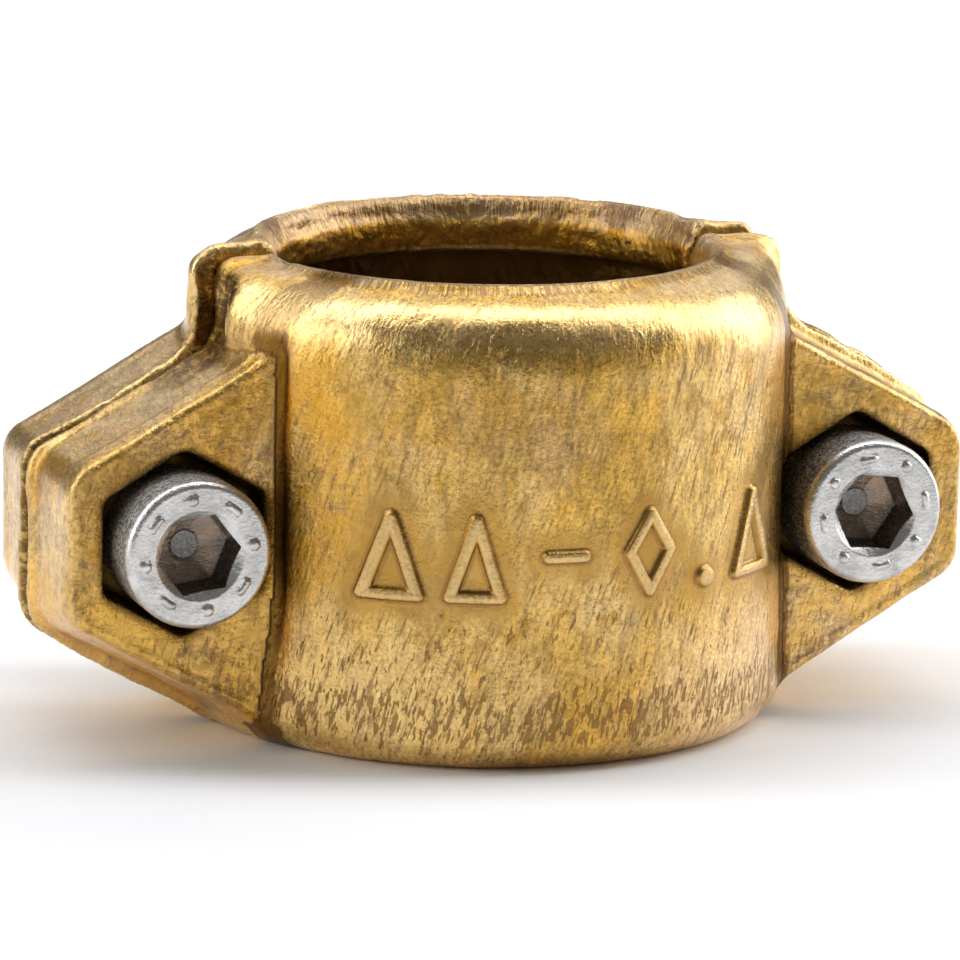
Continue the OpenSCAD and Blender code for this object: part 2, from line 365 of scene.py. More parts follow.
def half_fields(form):
    """The grid's lowest corner, the solid's field, and the fields that the surface marks need."""
    g = HalfGrid(form)
    barrel = barrel_field(g)
    ear, outline, face = ear_fields(g)
    at_root = smooth_step(-10.8, -9.0, g.y) * smooth_step(1.5, -0.3, outline) * (g.x < -EAR_START)
    barrel = barrel + ROOT_DENT * at_root * smooth_step(2, 13, g.z)
    body = soft_min(barrel, ear, np.where(g.x < 0, LEFT_ROOT_ROUND, ROOT_ROUND))
    channel = np.hypot(barrel, -g.y - EAR_Y) - 0.1
    edge, flange = flash_fields(g)
    body = with_flash(g, body, edge, flange)
    void = hollow_field(g)
    cuts, pocket = screw_cuts(g)
    solid = soft_max(body, -void, 0.12)
    solid = soft_max(solid, -cuts, EDGE_ROUND)
    solid = np.maximum(solid + 0.012 * g.fine, -g.z)
    extra = {"barrel": barrel, "ear": ear, "void": void, "flange": flange, "flash_edge": edge,
             "pocket": pocket, "face": face, "channel": channel}
    return g.low, solid.astype(np.float32), extra


# ---------------------------------------------------------------- from fields to meshes
def blur(a, n):
    """Box blur over 2n + 1 cells along each axis."""
    for axis in range(3):
        before = np.repeat(np.take(a, [0], axis), n + 1, axis)
        after = np.repeat(np.take(a, [-1], axis), n, axis)
        total = np.cumsum(np.concatenate([before, a, after], axis), axis, dtype=np.float64)
        length = a.shape[axis]
        high = np.take(total, range(2 * n + 1, 2 * n + 1 + length), axis)
        low = np.take(total, range(0, length), axis)
        a = ((high - low) / (2 * n + 1)).astype(np.float32)
    return a


def sample(grid, low, points):
    """Trilinear values of a grid at points, in mm."""
    at = (points - low) / VOXEL
    base = np.clip(np.floor(at).astype(int), 0, np.array(grid.shape) - 2)
    f = at - base
    total = 0
    for dx in (0, 1):
        for dy in (0, 1):
            for dz in (0, 1):
                weight = (np.where(dx, f[:, 0], 1 - f[:, 0]) * np.where(dy, f[:, 1], 1 - f[:, 1])
                          * np.where(dz, f[:, 2], 1 - f[:, 2]))
                total = total + weight * grid[base[:, 0] + dx, base[:, 1] + dy, base[:, 2] + dz]
    return total


def mesh_object(name, points, quads):
    """A new object from points in mm and quads of point numbers."""
    mesh = bpy.data.meshes.new(name)
    mesh.vertices.add(len(points))
    mesh.vertices.foreach_set("co", np.asarray(points, np.float32).ravel() * MM)
    flat = quads.astype(np.int32).ravel()
    mesh.loops.add(len(flat))
    mesh.loops.foreach_set("vertex_index", flat)
    mesh.polygons.add(len(quads))
    mesh.polygons.foreach_set("loop_start", np.arange(0, len(flat), 4, dtype=np.int32))
    mesh.update(calc_edges=True)
    mesh.validate()
    obj = bpy.data.objects.new(name, mesh)
    bpy.context.scene.collection.objects.link(obj)
    return obj


def add_value(obj, name, values):
    attribute = obj.data.attributes.new(name, "FLOAT", "POINT")
    attribute.data.foreach_set("value", np.asarray(values, np.float32))


def add_vector(obj, name, values):
    attribute = obj.data.attributes.new(name, "FLOAT_VECTOR", "POINT")
    attribute.data.foreach_set("vector", np.asarray(values, np.float32).ravel())


def shade_smooth(obj):
    obj.data.polygons.foreach_set("use_smooth", np.ones(len(obj.data.polygons), bool))


def relaxed(points, quads, rounds):
    """Each point moves towards the mean of its neighbours, which takes out the grid's steps."""
    ends = np.concatenate([quads[:, [0, 1]], quads[:, [1, 2]], quads[:, [2, 3]], quads[:, [3, 0]]])
    ends = np.concatenate([ends, ends[:, ::-1]])
    count = np.bincount(ends[:, 0], minlength=len(points))[:, None]
    for _ in range(rounds):
        sums = [np.bincount(ends[:, 0], points[ends[:, 1], i], len(points)) for i in range(3)]
        points = points * 0.5 + np.stack(sums, 1) / count * 0.5
    return points


def refined(points, quads):
    """An object of the mesh with finer faces where the raised marks are, and its points in mm."""
    obj = mesh_object("forging", points, quads[:, ::-1])
    centre = points[quads].mean(1)
    chosen = (mark_distance(centre[:, 0], centre[:, 2]) < 1.3) & (centre[:, 1] < FRONT_Y)
    bm = bmesh.new()
    bm.from_mesh(obj.data)
    bm.faces.ensure_lookup_table()
    edges = dict.fromkeys(e for i in np.nonzero(chosen)[0] for e in bm.faces[i].edges)
    bmesh.ops.subdivide_edges(bm, edges=list(edges), cuts=2, use_grid_fill=True)
    bm.to_mesh(obj.data)
    bm.free()
    found = np.empty(len(obj.data.vertices) * 3, np.float32)
    obj.data.vertices.foreach_get("co", found)
    return obj, found.reshape(-1, 3).astype(np.float64) / MM


class Surface:
    """A forging's points, in mm, with the values there of the fields that it was made from."""

    def __init__(self, form, turned, low, solid, extra, points):
        self.form = form
        self.turned = turned
        self.points = points
        self.x, self.y, self.z = points.T
        self.crown_z = self.z - form["lift"]
        self.radius = np.hypot(self.x, self.y)
        self.at = {key: sample(field, low, points) for key, field in extra.items()}
        inside = np.clip(0.5 - solid / VOXEL, 0, 1)
        self.cave_tight = sample(blur(inside, 2), low, points) - 0.5
        self.cave_wide = sample(blur(blur(inside, 4), 4), low, points) - 0.5
        self.strokes = mark_distance(self.x, self.z)
        self.on_front = (self.y < FRONT_Y) & (self.radius > BARREL_R - 0.8)
        self.on_ear = (self.at["ear"] < self.at["barrel"]) & (np.abs(self.at["void"]) > 0.3)


def grain_place(s):
    """Where the material reads its noise: along the surface, through it, and up."""
    arc = np.where(np.abs(s.at["void"]) < 0.5, LIP_R, BARREL_R) * np.arctan2(s.x, -s.y)
    along = np.where(s.on_ear, s.x, arc)
    depth = np.where(s.on_ear, s.y, s.radius)
    offset = s.form["seed"] * 7.0 if s.turned else 0.0
    return np.stack([along + offset, depth, s.z], 1)


def relief_marks(s):
    """Hollows and edges, the opening with its rim, and the raised marks."""
    void = np.abs(s.at["void"])
    rim = smooth_step(1.1, 0.8, np.abs(s.radius - LIP_R - 0.9))
    rim = rim * smooth_step(TOP_Z - 1.3, TOP_Z - 0.9, s.crown_z)
    stroke_foot = np.abs(s.strokes - STROKE - STROKE_EDGE)
    return {
        "crevice": np.clip(s.cave_tight * 3.2, -1, 1),
        "hollow": np.clip(s.cave_wide * 3.0, -1, 1),
        "inside": smooth_step(0.35, 0.1, void) * (s.radius < GROOVE_R + 0.4),
        "rim": rim * (s.y < -1.2) * (0.2 if s.turned else 1.0),
        "marked": smooth_step(2.4, 0.6, s.strokes) * s.on_front,
        "crest": smooth_step(STROKE + 0.04, STROKE - 0.1, s.strokes) * s.on_front,
        # the feet of the raised strokes, which get painted shade
        "foot": smooth_step(0.2, 0.05, stroke_foot) * s.on_front,
    }


def flash_marks(s):
    """The flash, and painted shade along the seam where it isn't sheared bare and on the trimmed side wall
    at the left.
    """
    edge = s.at["flash_edge"]
    flash = smooth_step(0.35, 0.0, np.abs(s.at["flange"])) * (s.y > -PARTING - FLANGE_T - 0.3)
    side_wall = smooth_step(0.6, 0.25, np.abs(edge - 0.1)) * (s.x < 0) * smooth_step(5.0, 4.0, -s.y)
    side_wall = side_wall * smooth_step(23, 25, s.z) * smooth_step(TOP_Z - 0.3, TOP_Z - 1.2, s.crown_z)
    proud = np.maximum(smooth_step(20, 22, s.z), 0.8 * s.turned * (s.x < 0))
    bare = proud * smooth_step(-0.9, -0.2, edge)
    # painted shade along the seam between the halves and on the trimmed wall at the left
    seam = np.maximum(0.95 * smooth_step(0.95, 0.45, -s.y) * (1 - bare), side_wall)
    return {"flash": flash, "seam": seam}


def zone_marks(s):
    """Pockets and the ears' roots, which get painted shade, the ears, and the barrel's flank and polished
    shoulder, which also gets a painted highlight.
    """
    on_barrel = 1 - s.on_ear
    below_face = smooth_step(-0.1, -0.45, s.at["face"])
    channel = s.at["channel"]
    root = np.where(s.on_ear, smooth_step(0.7, 0.2, channel), smooth_step(2.1, 0.7, channel))
    shoulder = smooth_step(TOP_Z - 4.4, TOP_Z - 3.0, s.crown_z)
    shoulder = shoulder * smooth_step(TOP_Z - 0.6, TOP_Z - 1.6, s.crown_z)
    flank = smooth_step(10, 17, -s.x) * on_barrel
    return {
        # the pocket walls, which get painted shade
        "socketed": smooth_step(0.4, 0.1, np.abs(s.at["pocket"])) * below_face,
        # the crease at each ear's root, which gets painted shade
        "root": root * (np.abs(s.x) > EAR_START) * (s.y < -2.0),
        # the polished shoulder, where a pale highlight is also painted into the colour
        "polish": shoulder * ((s.radius > LIP_R + 1.6) * on_barrel),
        "ear": s.on_ear,
        "ear_low": smooth_step(14, 9, s.z) * s.on_ear,
        "ear_face": smooth_step(0.6, 0.2, np.abs(s.at["face"])) * s.on_ear,
        "flank": flank * smooth_step(9, 15, s.z) * smooth_step(29, 24, s.z),
    }


def with_raised_marks(s):
    """The points with the strokes pushed outwards, highest along their middle."""
    lift = MARK_RAISE * smooth_step(STROKE + STROKE_EDGE, STROKE, s.strokes)
    lift = lift - 0.05 * np.clip(s.strokes / STROKE, 0, 1)
    push = np.where(s.on_front & (s.strokes < STROKE + STROKE_EDGE), np.maximum(lift, 0), 0)
    return s.points * np.stack([1 + push / s.radius, 1 + push / s.radius, np.ones_like(push)], 1)


def forged_half(name, body, turned, material):
    """One forging, made in front of the bore axis and turned half a turn if it is the rear one."""
    form = HALF_FORM[name]
    low, solid, extra = half_fields(form)
    grid = openvdb.FloatGrid(3.0)
    grid.copyFromArray(np.clip(solid / VOXEL, -3, 3).astype(np.float32))
    points, quads = grid.convertToQuads(0.0)
    points = relaxed(points.astype(np.float64) * VOXEL + low, quads, 2)
    obj, points = refined(points, quads)
    surface = Surface(form, turned, low, solid, extra, points)
    add_vector(obj, "grain", grain_place(surface))
    for marks in (relief_marks(surface), flash_marks(surface), zone_marks(surface)):
        for key, values in marks.items():
            add_value(obj, key, values)
    points = with_raised_marks(surface)
    if turned:
        points = points * [-1, -1, 1]
    obj.name = obj.data.name = name + "_forging"
    obj.data.vertices.foreach_set("co", points.astype(np.float32).ravel() * MM)
    obj.data.update()
    obj.data.materials.append(material)
    shade_smooth(obj)
    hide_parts(name)
    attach(obj, body)


# ---------------------------------------------------------------- fasteners, in mm
AROUND = 192
HEAD_R = 5.0
HEAD_H = 6.0
FACE_R = HEAD_R - 0.55
SOCKET_AF = 5.0
SOCKET_DEPTH = 3.2
SOCKET_TURN = {-1: 8.0, 1: 54.0}
MOUTH_R = 3.02
MOUTH_SLOPE = 0.7
CONE_DEPTH = 0.45
DISC_R = 0.95
DISC_Z = HEAD_H - SOCKET_DEPTH - 0.48
HEAD_MARKS = 8
HEAD_MARK_RING = 3.78
HEAD_MARK_R = 0.27
HEAD_MARK_RAISE = 0.2
HEAD_DOT_R = 0.12
HEAD_DASH = 0.38
THREAD_R = 2.95
THREAD_ROOT = 2.42
NECK_R = THREAD_ROOT + 0.25
PITCH = 1.0
LENGTH = 25.0
RUN_OUT = 2.0
TIP_CONE = 0.8
NUT_AF = 10.0
NUT_FACE_R = NUT_AF / 2 - 0.1
NUT_BORE = 3.05
NUT_SLOPE = 0.55
# the steel's zones, which its material tells apart
PLAIN = 0.0
SEAT = 0.1
MOUTH = 0.2
BEVEL = 0.3
FACE_EDGE = 0.45
FACE = 0.5
DISC = 0.6
SOCKET = 0.7
CONE = 0.8
SIDE_EDGE = 0.9
SIDE = 1.0
# rings round the head's top edge: how far in from the side, how far below the face, and the zone
HEAD_EDGE = ((0.0, 0.58, SIDE_EDGE), (0.03, 0.42, BEVEL), (0.12, 0.22, PLAIN), (0.25, 0.08, PLAIN),
             (0.42, 0.0, FACE))


class Rings:
    """Rings of points round an axis, joined in the order in which they are added."""

    def __init__(self, count):
        self.theta = np.arange(count) * 2 * math.pi / count
        self.rings = []
        self.zones = []

    def add(self, radius, h, zone=FACE):
        radius = np.broadcast_to(radius, self.theta.shape)
        h = np.broadcast_to(h, self.theta.shape)
        self.rings.append(np.stack([radius * np.cos(self.theta), radius * np.sin(self.theta), h], 1))
        self.zones.append(np.full(len(self.theta), zone, np.float32))

    def joined(self, closed=False):
        """All points, and the quads between each ring and the next."""
        count = len(self.theta)
        here = np.arange(count)
        step = np.roll(here, -1)
        quads = []
        for i in range(len(self.rings) if closed else len(self.rings) - 1):
            a = i * count
            b = (i + 1) % len(self.rings) * count
            quads.append(np.stack([a + here, a + step, b + step, b + here], 1))
        return np.concatenate(self.rings), np.concatenate(quads)


def hex_radius(theta, af, turn):
    """Distance from the centre to a hexagon's side, with one corner at angle turn."""
    return af / 2 / np.cos((theta - turn) % (math.pi / 3) - math.pi / 6)


def thread_radius(theta, h, root, crest):
    """Radius of a right-hand thread with flat crests, flat roots and straight flanks."""
    phase = np.abs((h / PITCH - theta / (2 * math.pi)) % 1.0 - 0.5) * 2
    return root + (crest - root) * np.clip((phase - 0.16) / 0.62, 0, 1)


def add_shank(rings):
    """The tip, the thread and the neck under the head."""
    rings.add(0.02, -LENGTH, PLAIN)
    rings.add(THREAD_R - TIP_CONE - 0.5, -LENGTH, PLAIN)
    for h in np.arange(-LENGTH, -RUN_OUT + 0.6, PITCH / 12):
        grip = smooth_step(-RUN_OUT + 0.5, -RUN_OUT - 0.6, h)
        outer = min(THREAD_R, THREAD_R - TIP_CONE + (h + LENGTH))
        radius = thread_radius(rings.theta, h, THREAD_ROOT, THREAD_R)
        radius = NECK_R + (radius - NECK_R) * grip
        rings.add(np.minimum(radius, outer), h, PLAIN)
    rings.add(THREAD_ROOT + 0.3, -0.3, PLAIN)
    rings.add(THREAD_ROOT + 0.5, -0.05, PLAIN)


def add_head_side(rings):
    """The underside of the head, its side, and the rounded edge at its top."""
    rings.add(3.6, 0.0, SEAT)
    rings.add(HEAD_R - 0.35, 0.0, SEAT)
    rings.add(HEAD_R - 0.12, 0.06, SIDE)
    rings.add(HEAD_R - 0.02, 0.2, SIDE)
    for h in np.linspace(0.4, HEAD_H - 0.75, 10):
        rings.add(HEAD_R - 0.015 + 0.01 * math.sin(h * 5), h, SIDE)
    for back, drop, zone in HEAD_EDGE:
        rings.add(HEAD_R - back, HEAD_H - drop, zone)


def head_mark_lift(theta, radius, turn):
    """How high the head's raised dots and dashes, which take turns, stand on one ring."""
    lift = np.zeros(len(theta))
    out = radius - HEAD_MARK_RING
    for i in range(HEAD_MARKS):
        at = turn + i * 2 * math.pi / HEAD_MARKS
        away = ((theta - at + math.pi) % (2 * math.pi) - math.pi) * radius
        if i % 2 == 0:
            d = np.hypot(away, out) - HEAD_DOT_R
        else:
            d = np.hypot(np.maximum(np.abs(away) - HEAD_DASH, 0), out)
        crown = np.sqrt(np.clip(1 - (d / HEAD_MARK_R) ** 2, 0, 1)) * (d < HEAD_MARK_R)
        lift = np.maximum(lift, HEAD_MARK_RAISE * crown)
    return lift


def add_head_face(rings, turn):
    """The face, a little lower towards both edges, with its raised marks."""
    for radius in np.linspace(FACE_R, 3.15, 16):
        lift = head_mark_lift(rings.theta, radius, turn)
        rings.add(radius, HEAD_H + lift - 0.012 * abs(radius - 3.9), FACE)


def add_socket(rings, turn):
    """The hexagon socket with its chamfered mouth, and a flat disc in its conical floor."""
    corner = hex_radius(rings.theta, SOCKET_AF, turn)
    mouth = HEAD_H - 0.03 - (MOUTH_R - corner) * MOUTH_SLOPE
    rings.add(MOUTH_R + 0.04, HEAD_H - 0.01, FACE_EDGE)
    rings.add(MOUTH_R, HEAD_H - 0.03, MOUTH)
    rings.add(corner + 0.02, mouth, MOUTH)
    rings.add(corner, mouth - 0.06, SOCKET)
    floor = HEAD_H - SOCKET_DEPTH
    for share in (0.25, 0.5, 0.75, 1.0):
        rings.add(corner - 0.02 * share, (mouth - 0.06) * (1 - share) + floor * share, SOCKET)
    for share in (0.1, 0.3, 0.5, 0.7, 0.9, 1.0):
        rings.add((corner - 0.05) * (1 - share) + DISC_R * share, floor - CONE_DEPTH * share, CONE)
    rings.add(DISC_R - 0.04, DISC_Z, DISC)
    for share in (0.7, 0.4, 0.02):
        rings.add(DISC_R * share, DISC_Z, DISC)


def finish_steel(rings, name, body, points, quads, grain, material):
    """The object of a fastener, with what its material reads, riding on its body."""
    obj = mesh_object(name + "_detail", points, quads)
    add_value(obj, "zone", np.concatenate(rings.zones))
    add_vector(obj, "grain", grain)
    obj.data.materials.append(material)
    shade_smooth(obj)
    obj.data.set_sharp_from_angle(angle=math.radians(32))
    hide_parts(name)
    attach(obj, body)


def cap_screw(name, body, side, material):
    turn = math.radians(SOCKET_TURN[side])
    rings = Rings(AROUND)
    add_shank(rings)
    add_head_side(rings)
    add_head_face(rings, turn)
    add_socket(rings, turn)
    local, quads = rings.joined()
    x, z, h = local.T
    points = np.stack([side * SCREW_X + x, -SEAT_Y - HEAD_GAP - h, SCREW_Z + z], 1)
    grain = np.stack([x + side * 31, z, h], 1)
    finish_steel(rings, name, body, points, quads, grain, material)


def hex_nut(name, body, side, material):
    """A nut with both faces chamfered and a threaded bore; its last ring joins its first."""
    rings = Rings(AROUND // 2)
    height = nut_high[1] - nut_low[1]
    outer = hex_radius(rings.theta, NUT_AF, math.radians(30))
    drop = (outer - NUT_FACE_R) * NUT_SLOPE
    middle = (outer + NUT_FACE_R) / 2
    rings.add(NUT_BORE + 0.4, 0.0)
    rings.add(NUT_FACE_R - 0.3, 0.0)
    rings.add(NUT_FACE_R, 0.01)
    rings.add(middle, drop / 2)
    rings.add(outer - 0.02, drop * 0.98)
    rings.add(outer, drop + 0.04)
    for share in (0.25, 0.5, 0.75):
        rings.add(outer, drop + (height - 2 * drop) * share)
    rings.add(outer, height - drop - 0.04)
    rings.add(outer - 0.02, height - drop * 0.98)
    rings.add(middle, height - drop / 2)
    rings.add(NUT_FACE_R, height - 0.01)
    rings.add(NUT_FACE_R - 0.3, height)
    rings.add(NUT_BORE + 0.4, height)
    for h in np.arange(height - 0.35, 0.3, -PITCH / 10):
        rings.add(NUT_BORE + 0.3 - thread_radius(rings.theta, h, 0.0, 0.3), h)
    local, quads = rings.joined(closed=True)
    x, z, h = local.T
    points = np.stack([side * SCREW_X + x, nut_high[1] - h, SCREW_Z + z], 1)
    grain = np.stack([x + side * 17 + 3, z, h], 1)
    finish_steel(rings, name, body, points, quads, grain, material)


# ---------------------------------------------------------------- building node materials
class Graph:
    """Short names for building a node material."""

    # a colour Mix node's own sockets
    MIX_A = 6
    MIX_B = 7
    MIX_RESULT = 2

    def __init__(self, name):
        self.material = bpy.data.materials.new(name)
        self.material.use_nodes = True
        self.tree = self.material.node_tree
        self.tree.nodes.clear()
        self.out = self.tree.nodes.new("ShaderNodeOutputMaterial")
        self.shader = self.tree.nodes.new("ShaderNodeBsdfPrincipled")
        self.tree.links.new(self.shader.outputs[0], self.out.inputs[0])

    def put(self, socket, value):
        """Link a node's output to a socket, or set the socket's number or colour."""
        if isinstance(value, bpy.types.NodeSocket):
            self.tree.links.new(value, socket)
        elif socket.type == "RGBA" and len(value) == 3:
            socket.default_value = (*value, 1.0)
        else:
            socket.default_value = value

    def attribute(self, name, vector=False):
        node = self.tree.nodes.new("ShaderNodeAttribute")
        node.attribute_name = name
        return node.outputs["Vector"] if vector else node.outputs["Fac"]

    def math(self, kind, a, b=0.0, clamp=False):
        node = self.tree.nodes.new("ShaderNodeMath")
        node.operation = kind
        node.use_clamp = clamp
        self.put(node.inputs[0], a)
        self.put(node.inputs[1], b)
        return node.outputs[0]

    def add(self, *values):
        total = values[0]
        for value in values[1:]:
            total = self.math("ADD", total, value)
        return total

    def times(self, *values):
        total = values[0]
        for value in values[1:]:
            total = self.math("MULTIPLY", total, value)
        return total

    def less(self, value, factor=1.0):
        """1 minus factor times the value."""
        return self.math("SUBTRACT", 1.0, self.math("MULTIPLY", value, factor), clamp=True)

    def swing(self, value, size=1.0):
        """A noise value round 0.5 as a change round 0, size times as wide."""
        return self.times(self.math("SUBTRACT", value, 0.5), size)

    def split(self, vector):
        node = self.tree.nodes.new("ShaderNodeSeparateXYZ")
        self.put(node.inputs[0], vector)
        return node.outputs

    def join(self, x, y, z):
        node = self.tree.nodes.new("ShaderNodeCombineXYZ")
        for socket, value in zip(node.inputs, (x, y, z)):
            self.put(socket, value)
        return node.outputs[0]

    def noise(self, vector, scale, detail=3.0, rough=0.5, distortion=0.0):
        node = self.tree.nodes.new("ShaderNodeTexNoise")
        self.put(node.inputs["Vector"], vector)
        node.inputs["Scale"].default_value = scale
        node.inputs["Detail"].default_value = detail
        node.inputs["Roughness"].default_value = rough
        node.inputs["Distortion"].default_value = distortion
        return node.outputs["Fac"]

    def stretched(self, x, y, z, x_scale, z_scale, *noise):
        """Noise whose grain is narrower along x or z where that scale is higher."""
        return self.noise(self.join(self.times(x, x_scale), y, self.times(z, z_scale)), *noise)

    def span(self, value, low, high, out_low=0.0, out_high=1.0):
        """value from low to high becomes out_low to out_high, smoothly and held beyond."""
        node = self.tree.nodes.new("ShaderNodeMapRange")
        node.interpolation_type = "SMOOTHSTEP"
        self.put(node.inputs["Value"], value)
        node.inputs["From Min"].default_value = low
        node.inputs["From Max"].default_value = high
        node.inputs["To Min"].default_value = out_low
        node.inputs["To Max"].default_value = out_high
        return node.outputs["Result"]

    def mix(self, factor, a, b, kind="MIX"):
        node = self.tree.nodes.new("ShaderNodeMix")
        node.data_type = "RGBA"
        node.blend_type = kind
        self.put(node.inputs["Factor"], factor)
        self.put(node.inputs[self.MIX_A], a)
        self.put(node.inputs[self.MIX_B], b)
        return node.outputs[self.MIX_RESULT]

    def bump(self, height):
        """Normal from a height in mm."""
        node = self.tree.nodes.new("ShaderNodeBump")
        node.inputs["Strength"].default_value = 1.0
        node.inputs["Distance"].default_value = MM
        self.put(node.inputs["Height"], height)
        return node.outputs["Normal"]

    def finish(self, colour, roughness, metallic, height=None):
        """The material, with its relief from a height in mm."""
        self.put(self.shader.inputs["Base Color"], colour)
        self.put(self.shader.inputs["Roughness"], roughness)
        self.put(self.shader.inputs["Metallic"], metallic)
        if height is not None:
            self.put(self.shader.inputs["Normal"], self.bump(height))
        return self.material


# ---------------------------------------------------------------- forged brass
GOLD = (0.70, 0.395, 0.062)
OCHRE = (0.50, 0.26, 0.03)
TAN = (0.76, 0.50, 0.165)
ORANGE = (0.80, 0.385, 0.015)
OLIVE = (0.345, 0.222, 0.062)
PINK = (0.82, 0.545, 0.27)
# painted reflections of the pale floor, low on the barrel's left and right
LOW_REFLECTION_GOLD = (0.95, 0.63, 0.22)
LOW_REFLECTION_PINK = (0.93, 0.63, 0.31)
BRIGHT_GOLD = (0.96, 0.62, 0.15)
# painted reflection of the pale floor, low on the ears
EAR_REFLECTION_GOLD = (1.0, 0.60, 0.12)
WORN = (0.90, 0.68, 0.34)
# paler gold of the polished shoulder, partly a painted highlight
POLISH_HIGHLIGHT = (0.92, 0.66, 0.30)
CUT_BROWN = (0.33, 0.18, 0.035)
VEIN_BROWN = (0.28, 0.15, 0.03)
WRINKLE_BROWN = (0.22, 0.105, 0.015)
# painted shade in the creases at the ears' roots
ROOT_SHADE_BROWN = (0.16, 0.072, 0.01)
# painted shade at the feet of the raised strokes
FOOT_SHADE_BROWN = (0.25, 0.13, 0.035)
# painted shade on the pocket walls
POCKET_SHADE_BROWN = (0.10, 0.052, 0.012)
# painted shade along the seam between the halves
SEAM_SHADE_BROWN = (0.11, 0.052, 0.01)
NOTCH_BROWN = (0.26, 0.14, 0.03)
OXIDE = (0.15, 0.08, 0.03)
# painted shade down the bore
BORE_SHADE = (0.05, 0.03, 0.015)
# painted shade inside the opening, in darker orange
LIP_SHADE_ORANGE = (0.50, 0.235, 0.015)
SHEARED_PINK = (0.34, 0.22, 0.14)
COAT = 0.5
COAT_ROUGHNESS = 0.2
BRASS_MARKS = ("crevice", "hollow", "inside", "marked", "crest", "foot", "flash", "rim", "socketed",
               "root", "seam", "ear", "ear_face", "ear_low", "flank", "polish")


class Brass:
    """The forged brass's mesh attributes and noises, which its layers share."""

    def __init__(self, g):
        for name in BRASS_MARKS:
            setattr(self, name, g.attribute(name))
        self.grain = g.attribute("grain", vector=True)
        self.u, self.w, self.z = g.split(self.grain)
        u, w, z = self.u, self.w, self.z
        lean = g.math("SUBTRACT", u, g.times(z, 0.38))
        self.patch = g.noise(self.grain, 0.13, 4.0, 0.55, 0.6)
        self.blotch = g.noise(self.grain, 0.42, 5.0, 0.6, 0.8)
        self.smudge = g.stretched(u, w, z, 1.2, 0.6, 0.33, 5.0, 0.65, 0.4)
        self.scratch = g.stretched(lean, w, z, 2.6, 0.32, 1.5, 4.0, 0.6)
        self.fibre = g.stretched(u, w, z, 3.0, 0.45, 1.0, 4.0, 0.6)
        self.speck = g.noise(self.grain, 3.6, 4.0, 0.7)
        self.mottle = g.stretched(u, w, z, 0.85, 1.6, 1.3, 4.0, 0.62, 0.5)
        self.notch = g.stretched(u, 0.0, z, 3.6, 0.3, 1.0, 3.0, 0.6)
        self.unmarked = g.less(self.marked, 0.75)
        self.wrinkle = wrinkles(g, self)
        self.cut = cuts(g, self)
        self.vein = g.times(g.span(self.mottle, 0.50, 0.42),
                            g.add(g.times(self.ear_face, 0.8), g.times(self.flank, 0.5)), self.unmarked)
        self.oxide = oxide(g, self)


def wrinkles(g, s):
    """Short upright wrinkles, close together near the base and scarce above it."""
    lean = g.math("SUBTRACT", s.u, g.times(s.z, 0.22))
    dashes = g.stretched(lean, s.w, s.z, 4.2, 1.15, 1.0, 1.5, 0.5, 0.35)
    rising = g.add(g.span(s.z, 13.0, 6.0, 0.0, 0.055), g.span(s.z, 6.2, 4.2, 0.0, 0.12))
    band = g.add(rising, g.span(s.blotch, 0.35, 0.65, -0.035, 0.035))
    reach = g.add(0.305, g.times(band, g.span(s.z, 1.2, 2.6)))
    where = g.math("ADD", g.span(s.z, 15.0, 12.0), g.times(s.polish, 0.6), clamp=True)
    off_ears = g.less(g.math("SUBTRACT", s.ear, g.times(s.ear_face, 0.6)), 0.9)
    shown = g.span(g.math("SUBTRACT", reach, dashes), 0.0, 0.02)
    return g.times(shown, where, g.less(s.marked, 0.9), off_ears)


def cuts(g, s):
    """Fine leaning cuts in the skin, in some patches more than in others."""
    cut = g.times(g.span(s.scratch, 0.40, 0.35), s.unmarked, g.less(s.polish, 0.6), g.less(s.ear, 0.5))
    return g.times(cut, g.span(s.patch, 0.42, 0.55, 0.25, 1.0))


def oxide(g, s):
    """Oxide that stays in the hollows."""
    break_up = g.span(s.blotch, 0.3, 0.7, 0.6, 1.25)
    caves = g.add(g.span(s.crevice, 0.12, 0.7), g.span(s.hollow, 0.10, 0.55))
    return g.times(g.math("MULTIPLY", caves, break_up, clamp=True), g.less(s.marked), g.less(s.root))


def slow_tints(g, s):
    """Slow changes of colour over the whole forging, with painted reflections of the pale floor low on the
    barrel's left and right.
    """
    tall = g.stretched(s.u, s.w, s.z, 0.9, 0.35, 0.6, 5.0, 0.6, 0.5)
    blush = g.noise(s.grain, 0.2, 3.0, 0.5)
    to_left = g.span(s.u, 6.0, -16.0, 0.25, 0.75)
    # low_left and low_right carry painted floor reflection: paler gold low on the left, paler pink low on
    # the right
    low_left = g.times(g.span(s.u, -4.0, -13.0), g.span(s.z, 11.0, 5.0), g.less(s.ear), 0.75)
    low_right = g.times(g.span(s.u, 0.0, 16.0), g.span(s.z, 13.0, 5.0), 0.85)
    colour = g.mix(g.span(s.patch, 0.36, 0.64), GOLD, TAN)
    colour = g.mix(g.times(g.span(s.blotch, 0.50, 0.66), 0.75), colour, OCHRE)
    colour = g.mix(g.times(g.span(tall, 0.54, 0.70), to_left), colour, ORANGE)
    colour = g.mix(g.times(g.span(s.smudge, 0.42, 0.68), 0.5), colour, OLIVE)
    colour = g.mix(low_left, colour, LOW_REFLECTION_GOLD)
    colour = g.mix(g.times(g.span(blush, 0.5, 0.7), 0.35), colour, PINK)
    return g.mix(low_right, colour, LOW_REFLECTION_PINK)


